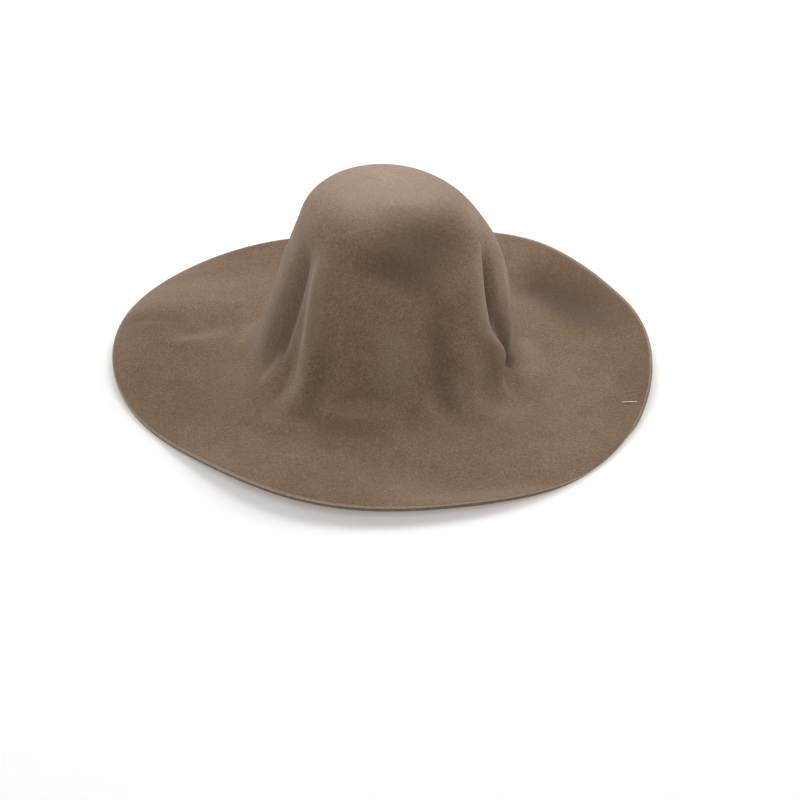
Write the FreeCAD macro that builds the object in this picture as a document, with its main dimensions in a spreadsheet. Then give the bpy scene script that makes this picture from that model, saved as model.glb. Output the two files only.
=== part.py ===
import FreeCAD, Part
import math
import os

# Unblocked wide-brim felt hat body (a "capeline" for a cowboy hat), as it comes
# off the felting mill: one continuous piece of wool felt with an open dome
# crown that runs in soft vertical folds into a wide, wavy, raw-cut brim.
# A wire staple near the brim's right edge holds a small paper ticket flat
# against the underside of the brim.
#
# Frame: millimetres, +Z up through the crown, origin at the bottom centre of
# the hat's box, so the brim rests on Z = 0. Front of the hat is -Y.
#
# The felt surface is described in (angle, run) coordinates. Angle goes round
# the crown, counter-clockwise from +X. Run is the distance along the felt from
# the crown's tip, down the crown wall and out to the cut edge of the brim.
#   1. profile  - radius and height of the plain, round hat body along the run
#   2. rings    - how far the felt swells (fraction of radius) and lifts (mm)
#                 round each of eight rings: the crown's lean and the brim's waves
#   3. folds    - each soft ridge, valley or dent, a smooth stroke on the felt

doc = FreeCAD.newDocument("felt_hat_body")
sheet = doc.addObject("Spreadsheet::Sheet", "sizes")
row_no = [1]


def put(alias, value):
    """One driving number: its name in column A, its value in column B."""
    r = row_no[0]
    sheet.set("A%d" % r, alias)
    sheet.set("B%d" % r, repr(value))
    sheet.setAlias("B%d" % r, alias)
    row_no[0] = r + 1


# ---------------------------------------------------------------- felt sizes
put("crown_felt", 2.8)        # felt thickness at the crown
put("brim_felt", 3.6)         # felt thickness in the brim
put("felt_grows_from", 150.0)   # run where the felt starts to thicken
put("felt_grows_to", 250.0)     # run where it has its full brim thickness

# radius and height of the plain body, from the crown's tip to the cut edge
PROFILE = [
    (0.0, 168.2),
    (26.0, 165.5),
    (47.71, 159.09),
    (67.13, 144.09),
    (76.0, 128.79),
    (83.94, 110.45),
    (92.05, 80.17),
    (98.75, 46.93),
    (105.05, 24.49),
    (113.97, 12.34),
    (127.6, 5.27),
    (150.9, 1.99),
    (186.04, 1.68),
    (222.03, -0.13),
]
for i, (r, z) in enumerate(PROFILE):
    put("profile_radius_%02d" % i, r)
    put("profile_height_%02d" % i, z)

# run of each knot of the profile, and of each ring
KNOTS = [0.0, 28.19, 54.59, 77.87, 98.02, 120.64, 150.79, 183.18, 205.99, 222.21, 239.3, 266.47, 301.52, 338.05]
for i, v in enumerate(KNOTS):
    put("profile_run_%02d" % i, v)
RINGS = [0.0, 40.0, 95.0, 150.0, 205.0, 245.0, 290.0, 338.05]
for i, v in enumerate(RINGS):
    put("ring_run_%02d" % i, v)

# each ring: waves round the ring as mean, cos 1, sin 1, cos 2, sin 2, ...
SWELL = [
    [0.0],
    [-0.0, -0.00418, 0.00019, 9e-05, 0.00284],
    [-0.0, 0.0238, 0.00136, 0.00246, -0.01073, 0.01193, -0.00226, -0.00058, -0.01025],
    [1e-05, 0.03325, 0.00898, 0.01771, -0.01795, 0.01216, -0.00701, 0.00562, -0.01216],
    [0.0, 0.006, 0.0017, 0.00431, -0.0014, 0.00575, -0.00349, -0.00083, -0.00406],
    [-1e-05, -0.02259, -0.02039, -0.04667, 0.02192, 0.00363, 0.02313, -0.02324, 0.00903, 0.00389, 0.015],
    [0.002, 0.00512, -0.00888, 0.0162, -0.07554, -0.0259, -0.02549, -0.00199, 0.00155, -0.0074, -0.00201],
    [-0.0024, 0.00483, -0.00452, 0.00934, -0.02057, -0.01261, 0.01002, 0.00553, -0.01208, -0.00015, -0.00157, 0.0035, 0.00827],
]
LIFT = [
    [0.0],
    [0.0, 0.566, -0.21, -0.222, -0.501],
    [0.0, 1.338, 0.15, 0.36, -0.553, 0.776, -0.597, -0.404, -0.623],
    [0.0, 0.69, 0.086, 0.148, -0.374, 0.272, 0.073, 0.209, -0.287],
    [0.0, -1.145, -0.24, -0.522, 1.046, 0.216, 0.25, -0.187, 0.182],
    [0.808, -1.591, -1.32, -1.694, 1.68, 0.49, 0.745, -1.656, 0.593, 0.543, 0.491],
    [2.222, -4.434, 1.628, 0.209, 2.169, -2.396, 1.077, 1.204, -2.963, -0.418, 2.498],
    [4.04, 2.871, 0.323, 1.375, 4.239, 1.126, 5.893, 0.556, -0.246, -0.8, 0.058, 1.672, -1.243],
]
LEAN = [
    (0.191, -0.283),
    (-1.128, -0.977),
    (3.727, -0.331),
    (4.992, 0.027),
    (1.105, 0.195),
    (0.001, 0.004),
    (0.002, -0.003),
    (0.068, 0.027),
]
for i in range(len(RINGS)):
    for j, v in enumerate(SWELL[i]):
        put("ring_%d_swell_%02d" % (i, j), v)
    for j, v in enumerate(LIFT[i]):
        put("ring_%d_lift_%02d" % (i, j), v)
    put("ring_%d_lean_x" % i, LEAN[i][0])
    put("ring_%d_lean_y" % i, LEAN[i][1])

# each fold: angle and run where it starts, angle and run where it ends
# (degrees, mm), sideways bow, half-width on its left and right, height
# (negative for a valley), fade-in and fade-out as parts of its length, and how
# square its crest is
FOLD_WORDS = ["start_angle", "start_run", "end_angle", "end_run", "bow",
              "left_width", "right_width", "height", "fade_in", "fade_out",
              "crest"]
FOLDS = [
    ('ridge_a', -132.67, 78.93, -127.3, 239.33, -4.02, 7.5, 11.0, 6.2, 0.35, 0.12, 1.9),
    ('valley_l', -147.64, 82.82, -150.19, 221.89, -4.11, 15.0, 9.0, -7.5, 0.35, 0.2, 1.9),
    ('ridge_l', -175.51, 117.6, 173.72, 230.93, -32.0, 6.0, 7.0, 1.8, 0.35, 0.3, 1.8),
    ('ridge_s', -153.41, 189.64, -143.65, 231.4, 0.0, 6.0, 6.0, 3.6, 0.4, 0.35, 1.8),
    ('valley_s', -142.23, 187.08, -134.64, 232.58, 0.0, 5.0, 5.0, -2.6, 0.4, 0.35, 1.8),
    ('valley_w', -118.54, 160.42, -117.97, 239.83, -8.95, 12.0, 14.0, -4.4, 0.5, 0.2, 1.8),
    ('dent_a', -120.0, 77.3, -55.74, 129.47, 0.07, 13.0, 24.0, -5.0, 0.4, 0.45, 1.9),
    ('dent_b', -45.25, 42.95, -62.66, 121.64, 0.0, 30.0, 28.0, -9.5, 0.45, 0.55, 2.0),
    ('ridge_m', -104.38, 127.55, -83.8, 221.6, 16.4, 14.0, 15.0, 4.4, 0.4, 0.3, 1.9),
    ('valley_m', -63.67, 102.16, -57.22, 241.22, -4.92, 14.0, 12.0, -5.2, 0.5, 0.2, 1.8),
    ('bump_m', -71.67, 197.71, -67.72, 245.01, 0.0, 6.0, 6.0, 2.6, 0.4, 0.35, 1.8),
    ('valley_n', -74.94, 203.33, -83.16, 239.82, 0.0, 6.0, 6.0, -2.4, 0.4, 0.35, 1.8),
    ('foot_bulge', -125.49, 218.86, -78.4, 217.05, -1.45, 7.0, 14.0, 2.6, 0.4, 0.4, 1.8),
    ('ridge_r', -51.0, 162.06, -51.18, 244.09, 7.89, 9.0, 8.0, 2.8, 0.4, 0.25, 1.8),
    ('valley_r', -41.61, 165.26, -33.33, 236.16, 7.85, 8.0, 7.0, -2.6, 0.4, 0.25, 1.8),
    ('ridge_f', -20.6, 88.5, -29.2, 190.0, -20.6, 13.0, 6.0, 5.8, 0.3, 0.4, 1.8),
    ('ridge_e', -33.0, 153.0, -33.0, 256.0, 11.0, 12.0, 7.0, 5.2, 0.35, 0.3, 1.8),
    ('valley_f', -18.71, 98.19, -15.64, 206.0, -23.6, 6.0, 8.0, -8.5, 0.3, 0.4, 1.9),
    ('valley_g', -28.45, 147.67, -6.73, 240.46, -1.47, 6.0, 7.0, -6.5, 0.3, 0.3, 1.9),
    ('ridge_g', 46.07, 284.04, -14.01, 195.19, -32.0, 5.0, 7.0, 2.0, 0.35, 0.5, 1.8),
    ('ridge_h', -9.05, 233.04, -21.24, 258.56, 0.0, 6.0, 6.0, 1.6, 0.4, 0.4, 1.8),
    ('brim_l_ridge', -179.18, 296.37, 157.47, 250.81, -13.28, 13.0, 6.0, 3.3, 0.35, 0.4, 1.8),
    ('brim_l_valley', 169.63, 337.28, 168.01, 272.78, 0.0, 8.0, 11.0, -3.0, 0.35, 0.4, 1.9),
    ('brim_rb_valley', 51.41, 304.31, 11.85, 319.99, 0.0, 23.0, 22.0, -6.2, 0.35, 0.4, 2.0),
    ('brim_r_valley', -13.22, 289.18, -5.99, 337.79, 0.0, 14.0, 12.0, -0.8, 0.4, 0.4, 2.0),
    ('back_valley_a', 40, 112, 36, 230, -2, 9, 8, -3.2, 0.35, 0.15, 1.9),
    ('back_ridge_a', 56, 102, 52, 238, 3, 8, 7, 3.4, 0.3, 0.2, 1.7),
    ('back_valley_b', 70, 128, 69, 236, 0, 8, 9, -3.6, 0.35, 0.12, 1.9),
    ('back_ridge_b', 84, 150, 86, 240, -2, 10, 8, 2.8, 0.35, 0.25, 1.9),
    ('back_valley_c', 99, 96, 103, 232, 4, 9, 10, -4.8, 0.3, 0.12, 1.9),
    ('back_ridge_c', 116, 118, 113, 240, -4, 9, 11, 3.6, 0.3, 0.2, 1.8),
    ('back_valley_d', 131, 140, 134, 236, 2, 8, 7, -3.4, 0.35, 0.15, 1.9),
    ('back_ridge_d', 146, 106, 150, 238, -3, 7, 8, 3.2, 0.3, 0.25, 1.8),
    ('back_brim_valley', 118, 305, 88, 262, 6, 16, 14, -2.2, 0.4, 0.4, 2.0),
]
for fold in FOLDS:
    for word, v in zip(FOLD_WORDS, fold[1:]):
        put("%s_%s" % (fold[0], word), v)

# ---------------------------------------------------- staple and ticket sizes
put("staple_angle", -18.1)       # where the middle of the staple sits
put("staple_run", 312.0)
put("staple_turn", -9.0)        # crown wire's direction, from +X towards +Y
put("staple_crown", 12.7)       # outside width across the legs
put("wire_width", 0.7)
put("wire_thick", 0.5)
put("bend_radius", 0.6)         # centre line of the four corners
put("crown_lift", 0.62)          # crown wire's centre above the felt
put("leg_drop", 5.17)           # crown wire's centre to the clinched tips
put("tip_length", 3.8)          # straight part of each clinched tip
put("hole_play", 0.12)          # room round each leg in the felt and ticket

put("ticket_length", 22.0)
put("ticket_width", 20.0)
put("ticket_thick", 0.3)
put("ticket_corner", 2.0)
put("ticket_bend", 230.0)        # radius that it takes from the brim
put("ticket_depth", 3.90)         # its upper face below the felt's top at the staple
put("ticket_inset", 9.0)         # staple's middle to the ticket's outer end

doc.recompute()


def size(alias):
    return float(sheet.get(alias))


# ------------------------------------------------------------ felt surface
TURN = 2.0 * math.pi
radius_at = [size("profile_radius_%02d" % i) for i in range(len(PROFILE))]
height_at = [size("profile_height_%02d" % i) for i in range(len(PROFILE))]
knots = [size("profile_run_%02d" % i) for i in range(len(KNOTS))]
rings = [size("ring_run_%02d" % i) for i in range(len(RINGS))]
swell = [[size("ring_%d_swell_%02d" % (i, j)) for j in range(len(SWELL[i]))]
         for i in range(len(RINGS))]
lift = [[size("ring_%d_lift_%02d" % (i, j)) for j in range(len(LIFT[i]))]
        for i in range(len(RINGS))]
lean = [(size("ring_%d_lean_x" % i), size("ring_%d_lean_y" % i))
        for i in range(len(RINGS))]
folds = []
for fold in FOLDS:
    v = [size("%s_%s" % (fold[0], word)) for word in FOLD_WORDS]
    v[0] = math.radians(v[0])
    v[2] = math.radians(v[2])
    folds.append(v)
RUN = knots[-1]


def natural(xs, level_start=False):
    """Second derivatives of the cubic spline through each unit value. It is free
    at its ends, or level at its start."""
    n = len(xs)
    step = [xs[i + 1] - xs[i] for i in range(n - 1)]
    rows = []
    for k in range(n):
        y = [1.0 if i == k else 0.0 for i in range(n)]
        low, mid, up, rhs = [0.0] * n, [1.0] * n, [0.0] * n, [0.0] * n
        for i in range(1, n - 1):
            low[i], up[i] = step[i - 1], step[i]
            mid[i] = 2.0 * (step[i - 1] + step[i])
            rhs[i] = 6.0 * ((y[i + 1] - y[i]) / step[i]
                            - (y[i] - y[i - 1]) / step[i - 1])
        if level_start:
            mid[0], up[0] = 2.0 * step[0], step[0]
            rhs[0] = 6.0 * (y[1] - y[0]) / step[0]
        for i in range(1, n):
            f = low[i] / mid[i - 1]
            mid[i] -= f * up[i - 1]
            rhs[i] -= f * rhs[i - 1]
        m = [0.0] * n
        m[n - 1] = rhs[n - 1] / mid[n - 1]
        for i in range(n - 2, -1, -1):
            m[i] = (rhs[i] - up[i] * m[i + 1]) / mid[i]
        rows.append(m)
    return rows


def weights(xs, curv, x):
    """Weight of each knot, and its slope, at x on the natural cubic spline."""
    n = len(xs)
    i = 0
    while i < n - 2 and x > xs[i + 1]:
        i += 1
    d = xs[i + 1] - xs[i]
    a = (xs[i + 1] - x) / d
    b = 1.0 - a
    val, der = [], []
    for k in range(n):
        y0 = 1.0 if k == i else 0.0
        y1 = 1.0 if k == i + 1 else 0.0
        m0, m1 = curv[k][i], curv[k][i + 1]
        val.append(a * y0 + b * y1
                   + ((a ** 3 - a) * m0 + (b ** 3 - b) * m1) * d * d / 6.0)
        der.append((y1 - y0) / d
                   + (-(3 * a * a - 1) * m0 + (3 * b * b - 1) * m1) * d / 6.0)
    return val, der


knot_curv = natural(knots, True)
ring_curv = natural(rings)


def along(run):
    """Everything that depends on the run only."""
    w, dw = weights(knots, knot_curv, run)
    rho = run + sum(a * (b - k) for a, b, k in zip(w, radius_at, knots))
    z = sum(a * b for a, b in zip(w, height_at))
    dr = 1.0 + sum(a * (b - k) for a, b, k in zip(dw, radius_at, knots))
    dz = sum(a * b for a, b in zip(dw, height_at))
    n = math.hypot(dr, dz)
    b, _ = weights(rings, ring_curv, run)
    lx = sum(a * c[0] for a, c in zip(b, lean))
    ly = sum(a * c[1] for a, c in zip(b, lean))
    return run, rho, z, -dz / n, dr / n, b, lx, ly


for v in folds:      # plain radius at the middle of each fold
    v.append(max(along(0.5 * (v[1] + v[3]))[1], 15.0))


def ease(x):
    x = min(max(x, 0.0), 1.0)
    return x * x * (3.0 - 2.0 * x)


def wrap(a):
    return (a + math.pi) % TURN - math.pi


def fold_height(angle, run, rho):
    total = 0.0
    r = max(rho, 15.0)
    for a0, s0, a1, s1, bow, wl, wr, high, fin, fout, crest, rm in folds:
        across = wrap(a1 - a0) * rm
        down = s1 - s0
        long = math.hypot(across, down)
        x = wrap(angle - a0) * rm
        y = run - s0
        t = (x * across + y * down) / (long * long)
        if t <= 0.0 or t >= 1.0:
            continue
        n = (x * down - y * across) / long
        n *= 1.0 + (r / rm - 1.0) * abs(down) / long
        n -= bow * 4.0 * t * (1.0 - t)
        q = abs(n) / (wl if n < 0.0 else wr)
        if q > 6.0:
            continue
        total += high * ease(t / fin) * ease((1.0 - t) / fout) * math.exp(-q ** crest)
    return total


def top_point(angle, line):
    run, rho, z, nr, nz, b, lx, ly = line
    c = [1.0]
    for k in range(1, 8):
        c += [math.cos(k * angle), math.sin(k * angle)]
    grow = sum(w * sum(p * q for p, q in zip(row, c)) for w, row in zip(b, swell))
    up = sum(w * sum(p * q for p, q in zip(row, c)) for w, row in zip(b, lift))
    f = fold_height(angle, run, rho)
    rad = rho * (1.0 + grow) + nr * f
    return (rad * math.cos(angle) + lx, rad * math.sin(angle) + ly,
            z + up + nz * f)


def felt_at(run):
    t = ease((run - size("felt_grows_from"))
             / (size("felt_grows_to") - size("felt_grows_from")))
    return size("crown_felt") + (size("brim_felt") - size("crown_felt")) * t


# ------------------------------------- felt surface as cubic B-spline surfaces
NU = 144      # poles round the crown
NV = 60       # poles from the tip to the cut edge


def basis(k, x, flat):
    """The four cubic B-spline values on knot span k at x."""
    n = [1.0, 0.0, 0.0, 0.0]
    left = [0.0] * 4
    right = [0.0] * 4
    for j in range(1, 4):
        left[j] = x - flat[k + 1 - j]
        right[j] = flat[k + j] - x
        saved = 0.0
        for r in range(j):
            temp = n[r] / (right[r + 1] + left[j - r])
            n[r] = saved + right[r + 1] * temp
            saved = left[j - r] * temp
        n[j] = saved
    return n


spans = NV - 3
flat = [0.0] * 3 + [float(i) for i in range(spans + 1)] + [float(spans)] * 3
sites = [(flat[i + 1] + flat[i + 2] + flat[i + 3]) / 3.0 for i in range(NV)]
rows_at = []
for g in sites:
    k = min(int(g), spans - 1) + 3
    rows_at.append((k - 3, basis(k, g, flat)))


def fit_poles(points):
    """Poles whose cubic surface (closed round the crown) passes the points."""
    poles = [list(col) for col in points]
    for _ in range(6):
        half = []
        for u in range(NU):
            col = []
            for first, w in rows_at:
                col.append([sum(w[i] * poles[u][first + i][c] for i in range(4))
                            for c in range(3)])
            half.append(col)
        new = []
        for u in range(NU):
            a, b, d = half[u - 1], half[u], half[(u + 1) % NU]
            col = []
            for v in range(NV):
                col.append(tuple(
                    poles[u][v][c] + points[u][v][c]
                    - (a[v][c] + 4.0 * b[v][c] + d[v][c]) / 6.0
                    for c in range(3)))
            new.append(col)
        tip = [sum(new[u][0][c] for u in range(NU)) / NU for c in range(3)]
        for u in range(NU):
            new[u][0] = tuple(tip)
        poles = new
    return poles


def closed_surface(poles, vknots, vmults, vdegree):
    s = Part.BSplineSurface()
    s.buildFromPolesMultsKnots(
        [[FreeCAD.Vector(*p) for p in col] for col in poles],
        [1] * (NU + 1), vmults, [float(i) for i in range(NU + 1)], vknots,
        True, False, 3, vdegree)
    return s


angles = [-math.pi + TURN * i / NU for i in range(NU)]
lines = [along(RUN * g / spans) for g in sites]
tip = top_point(0.0, lines[0])
top = []
for a in angles:
    col = [top_point(a, line) for line in lines]
    col[0] = tip
    top.append(col)


def cross(a, b):
    return (a[1] * b[2] - a[2] * b[1], a[2] * b[0] - a[0] * b[2],
            a[0] * b[1] - a[1] * b[0])


# the felt's normal, softened over its neighbours so that the inside of a tight
# fold stays open
normal = []
for u in range(NU):
    col = []
    for v in range(NV):
        if v == 0:
            col.append((0.0, 0.0, 1.0))
            continue
        p, q = top[(u + 1) % NU][v], top[u - 1][v]
        r, s = top[u][min(v + 1, NV - 1)], top[u][v - 1]
        n = cross([r[c] - s[c] for c in range(3)], [p[c] - q[c] for c in range(3)])
        d = math.sqrt(sum(c * c for c in n))
        col.append(tuple(c / d for c in n))
    normal.append(col)
for _ in range(2):
    soft = []
    for u in range(NU):
        col = []
        for v in range(NV):
            n = [normal[u][v][c] * 2.0 + normal[u - 1][v][c]
                 + normal[(u + 1) % NU][v][c]
                 + normal[u][max(v - 1, 0)][c] + normal[u][min(v + 1, NV - 1)][c]
                 for c in range(3)]
            d = math.sqrt(sum(c * c for c in n))
            col.append(tuple(c / d for c in n))
        soft.append(col)
    for u in range(NU):
        soft[u][0] = (0.0, 0.0, 1.0)
    normal = soft
under = []
for u in range(NU):
    col = []
    for v in range(NV):
        t = felt_at(lines[v][0])
        col.append(tuple(top[u][v][c] - normal[u][v][c] * t for c in range(3)))
    under.append(col)

top_poles = fit_poles(top)
under_poles = fit_poles(under)
vknots = [float(i) for i in range(spans + 1)]
vmults = [4] + [1] * (spans - 1) + [4]
top_face = closed_surface(top_poles, vknots, vmults, 3).toShape()
under_face = closed_surface(under_poles, vknots, vmults, 3).toShape()
edge_face = closed_surface([[top_poles[u][-1], under_poles[u][-1]] for u in range(NU)],
                           [0.0, 1.0], [2, 2], 1).toShape()
sewn = Part.Compound([top_face, edge_face, under_face])
sewn.sewShape()
shell = sewn.Shells[0] if sewn.Shells else Part.Shell([top_face, edge_face, under_face])
felt = Part.Solid(shell)
if felt.Volume < 0.0:
    felt.reverse()

# the hat's box, from the finished felt: it sets the origin
points = felt.tessellate(0.15)[0]
low = [min(p[c] for p in points) for c in range(3)]
high = [max(p[c] for p in points) for c in range(3)]
origin = FreeCAD.Vector(0.5 * (low[0] + high[0]), 0.5 * (low[1] + high[1]), low[2])
print("felt box", [round(high[c] - low[c], 2) for c in range(3)],
      "origin", [round(c, 3) for c in origin])
print("felt volume cm3", round(felt.Volume / 1000.0, 2), "faces", len(felt.Faces),
      "closed", felt.isClosed(), "valid", felt.isValid())

blank = doc.addObject("Part::Feature", "felt_blank")
blank.Shape = felt
blank.Placement = FreeCAD.Placement(-origin, FreeCAD.Rotation())

# --------------------------------------------------------- staple's own frame
# Its X runs along the crown wire, its Z is the felt's outward normal, and its
# origin is on the felt's top surface midway between the legs.
site = along(size("staple_run"))
site_angle = math.radians(size("staple_angle"))


def near(da, ds):
    return FreeCAD.Vector(*top_point(site_angle + da, along(size("staple_run") + ds)))


span = 0.5 * size("staple_crown")
around = (near(0.02, 0.0) - near(-0.02, 0.0))
outward = (near(0.0, span) - near(0.0, -span))
up = outward.cross(around)
up.normalize()
turn = math.radians(size("staple_turn"))
wire_dir = FreeCAD.Vector(math.cos(turn), math.sin(turn), 0.0)
wire_dir = wire_dir - up * wire_dir.dot(up)
wire_dir.normalize()
side_dir = up.cross(wire_dir)
seat = FreeCAD.Placement(near(0.0, 0.0) - origin,
                         FreeCAD.Rotation(wire_dir, side_dir, up, "ZXY"))
print("staple seat", [round(c, 2) for c in seat.Base], "up", [round(c, 3) for c in up])


def expr(obj, prop, text):
    obj.setExpression(prop, text)


def plane_of(body, role):
    for feature in body.Origin.OriginFeatures:
        if feature.Role == role:
            return feature
    raise RuntimeError("no origin plane " + role)


# ------------------------------------------------------- staple: one bent wire
def line(sk, a, b):
    return sk.addGeometry(Part.LineSegment(FreeCAD.Vector(*a, 0), FreeCAD.Vector(*b, 0)), False)


def arc(sk, centre, r, a0, a1):
    circle = Part.Circle(FreeCAD.Vector(*centre, 0), FreeCAD.Vector(0, 0, 1), r)
    return sk.addGeometry(Part.ArcOfCircle(circle, math.radians(a0), math.radians(a1)), False)


def rule(sk, *args):
    import Sketcher
    return sk.addConstraint(Sketcher.Constraint(*args))


def bound(sk, name, text, *args):
    """A dimension of the sketch, driven by the sheet."""
    i = rule(sk, *args)
    sk.renameConstraint(i, name)
    expr(sk, "Constraints." + name, text)


half = 0.5 * (size("staple_crown") - size("wire_thick"))
rise = size("crown_lift")
drop = size("leg_drop")
r = size("bend_radius")
tip_x = half - r - size("tip_length")

staple = doc.addObject("PartDesign::Body", "staple")
path = staple.newObject("Sketcher::SketchObject", "staple_path")
path.AttachmentSupport = [(plane_of(staple, "XZ_Plane"), "")]
path.MapMode = "FlatFace"
low_z = rise - drop
l1 = line(path, (-tip_x, low_z), (-half + r, low_z))
a1 = arc(path, (-half + r, low_z + r), r, 180, 270)
l2 = line(path, (-half, low_z + r), (-half, rise - r))
a2 = arc(path, (-half + r, rise - r), r, 90, 180)
l3 = line(path, (-half + r, rise), (half - r, rise))
a3 = arc(path, (half - r, rise - r), r, 0, 90)
l4 = line(path, (half, rise - r), (half, low_z + r))
a4 = arc(path, (half - r, low_z + r), r, 270, 360)
l5 = line(path, (half - r, low_z), (tip_x, low_z))
rule(path, "Tangent", l1, 2, a1, 2)
rule(path, "Tangent", a1, 1, l2, 1)
rule(path, "Tangent", l2, 2, a2, 2)
rule(path, "Tangent", a2, 1, l3, 1)
rule(path, "Tangent", l3, 2, a3, 2)
rule(path, "Tangent", a3, 1, l4, 1)
rule(path, "Tangent", l4, 2, a4, 2)
rule(path, "Tangent", a4, 1, l5, 1)
rule(path, "Vertical", l2)
rule(path, "Vertical", l4)
rule(path, "Horizontal", l1)
rule(path, "Horizontal", l5)
rule(path, "Equal", a1, a2)
rule(path, "Equal", a2, a3)
rule(path, "Equal", a3, a4)
rule(path, "Symmetric", l3, 1, l3, 2, -2)
bound(path, "corner", "sizes.bend_radius", "Radius", a2, r)
bound(path, "across", "sizes.staple_crown - sizes.wire_thick", "DistanceX", l2, 1, l4, 2, 2 * half)
bound(path, "rise", "sizes.crown_lift", "DistanceY", -1, 1, l3, 1, rise)
bound(path, "drop", "sizes.leg_drop", "DistanceY", l1, 2, l3, 1, drop)
bound(path, "tip_a", "sizes.tip_length", "DistanceX", l1, 2, l1, 1, size("tip_length"))
rule(path, "Symmetric", l1, 1, l5, 2, -2)

section = staple.newObject("Sketcher::SketchObject", "staple_section")
section.AttachmentSupport = [(plane_of(staple, "YZ_Plane"), "")]
section.MapMode = "FlatFace"
section.AttachmentOffset = FreeCAD.Placement(FreeCAD.Vector(0, 0, -tip_x), FreeCAD.Rotation())
expr(section, ".AttachmentOffset.Base.z",
     "-(0.5 * (sizes.staple_crown - sizes.wire_thick) - sizes.bend_radius - sizes.tip_length)")
w, t = 0.5 * size("wire_width"), 0.5 * size("wire_thick")
corners = [(-w, low_z - t), (w, low_z - t), (w, low_z + t), (-w, low_z + t)]
s = [line(section, corners[i], corners[(i + 1) % 4]) for i in range(4)]
for i in range(4):
    rule(section, "Coincident", s[i], 2, s[(i + 1) % 4], 1)
rule(section, "Horizontal", s[2])
rule(section, "Vertical", s[1])
rule(section, "Vertical", s[3])
rule(section, "Symmetric", s[0], 1, s[0], 2, -2)
bound(section, "wide", "sizes.wire_width", "DistanceX", s[0], 1, s[0], 2, 2 * w)
bound(section, "thick", "sizes.wire_thick", "DistanceY", s[1], 1, s[1], 2, 2 * t)
bound(section, "below", "sizes.leg_drop - sizes.crown_lift + 0.5 * sizes.wire_thick",
      "DistanceY", s[0], 1, -1, 1, -(low_z - t))
doc.recompute()

wire = staple.newObject("PartDesign::AdditivePipe", "staple_wire")
wire.Profile = section
wire.Spine = (path, ["Edge%d" % (i + 1) for i in range(9)])
staple.Tip = wire
staple.Label = "staple"
staple.Placement = seat
doc.recompute()

# ------------------------------------- ticket: a slip of paper under the brim
# It lies in the same frame as the staple, curved along X with the brim, with a
# slot for each leg.
ticket = doc.addObject("PartDesign::Body", "ticket")
strip = ticket.newObject("Sketcher::SketchObject", "ticket_side")
strip.AttachmentSupport = [(plane_of(ticket, "XZ_Plane"), "")]
strip.MapMode = "FlatFace"
bend = size("ticket_bend")
under_z = size("ticket_depth")
thick = size("ticket_thick")
x0 = size("ticket_inset") - size("ticket_length")
x1 = size("ticket_inset")


def bend_z(rad, x):
    return bend - under_z - math.sqrt(rad * rad - x * x)


def deg(rad, x):
    return math.degrees(math.atan2(-math.sqrt(rad * rad - x * x), x))


centre = (0.0, bend - under_z)
ta = arc(strip, centre, bend, deg(bend, x0), deg(bend, x1))
tb = arc(strip, centre, bend + thick, deg(bend + thick, x0), deg(bend + thick, x1))
e0 = line(strip, (x0, bend_z(bend, x0)), (x0, bend_z(bend + thick, x0)))
e1 = line(strip, (x1, bend_z(bend, x1)), (x1, bend_z(bend + thick, x1)))
rule(strip, "Coincident", e0, 1, ta, 1)
rule(strip, "Coincident", e0, 2, tb, 1)
rule(strip, "Coincident", e1, 1, ta, 2)
rule(strip, "Coincident", e1, 2, tb, 2)
rule(strip, "Coincident", ta, 3, tb, 3)
rule(strip, "PointOnObject", ta, 3, -2)
rule(strip, "Vertical", e0)
rule(strip, "Vertical", e1)
bound(strip, "bend", "sizes.ticket_bend", "Radius", ta, bend)
bound(strip, "outer_bend", "sizes.ticket_bend + sizes.ticket_thick", "Radius", tb, bend + thick)
bound(strip, "depth", "sizes.ticket_bend - sizes.ticket_depth", "DistanceY", -1, 1, ta, 3, bend - under_z)
bound(strip, "inset", "sizes.ticket_inset", "DistanceX", -1, 1, e1, 1, x1)
bound(strip, "length", "sizes.ticket_length", "DistanceX", e0, 1, e1, 1, x1 - x0)
doc.recompute()
slip = ticket.newObject("PartDesign::Pad", "ticket_slip")
slip.Profile = strip
expr(slip, "Length", "sizes.ticket_width")
slip.Midplane = True
doc.recompute()

slots = ticket.newObject("Sketcher::SketchObject", "ticket_slots")
slots.AttachmentSupport = [(plane_of(ticket, "XY_Plane"), "")]
slots.MapMode = "FlatFace"
sx = 0.5 * size("wire_thick") + size("hole_play")
sy = 0.5 * size("wire_width") + size("hole_play")
for side in (-1, 1):
    c = side * half
    corners = [(c - sx, -sy), (c + sx, -sy), (c + sx, sy), (c - sx, sy)]
    q = [line(slots, corners[i], corners[(i + 1) % 4]) for i in range(4)]
    for i in range(4):
        rule(slots, "Coincident", q[i], 2, q[(i + 1) % 4], 1)
    rule(slots, "Horizontal", q[0])
    rule(slots, "Horizontal", q[2])
    rule(slots, "Vertical", q[1])
    rule(slots, "Symmetric", q[0], 1, q[2], 2, -1)
    name = "outer" if side > 0 else "inner"
    bound(slots, name + "_long", "sizes.wire_thick + 2 * sizes.hole_play",
          "DistanceX", q[0], 1, q[0], 2, 2 * sx)
    bound(slots, name + "_wide", "sizes.wire_width + 2 * sizes.hole_play",
          "DistanceY", q[1], 1, q[1], 2, 2 * sy)
    if side > 0:
        bound(slots, name + "_place", "0.5 * (sizes.staple_crown - sizes.wire_thick) - 0.5 * sizes.wire_thick - sizes.hole_play",
              "DistanceX", -1, 1, q[0], 1, c - sx)
    else:
        bound(slots, name + "_place", "0.5 * (sizes.staple_crown - sizes.wire_thick) - 0.5 * sizes.wire_thick - sizes.hole_play",
              "DistanceX", q[0], 2, -1, 1, -(c + sx))
doc.recompute()
cut = ticket.newObject("PartDesign::Pocket", "ticket_leg_slots")
cut.Profile = slots
cut.Type = 1
cut.Midplane = True
doc.recompute()
before = slip.Shape.Volume
names = []
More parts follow.
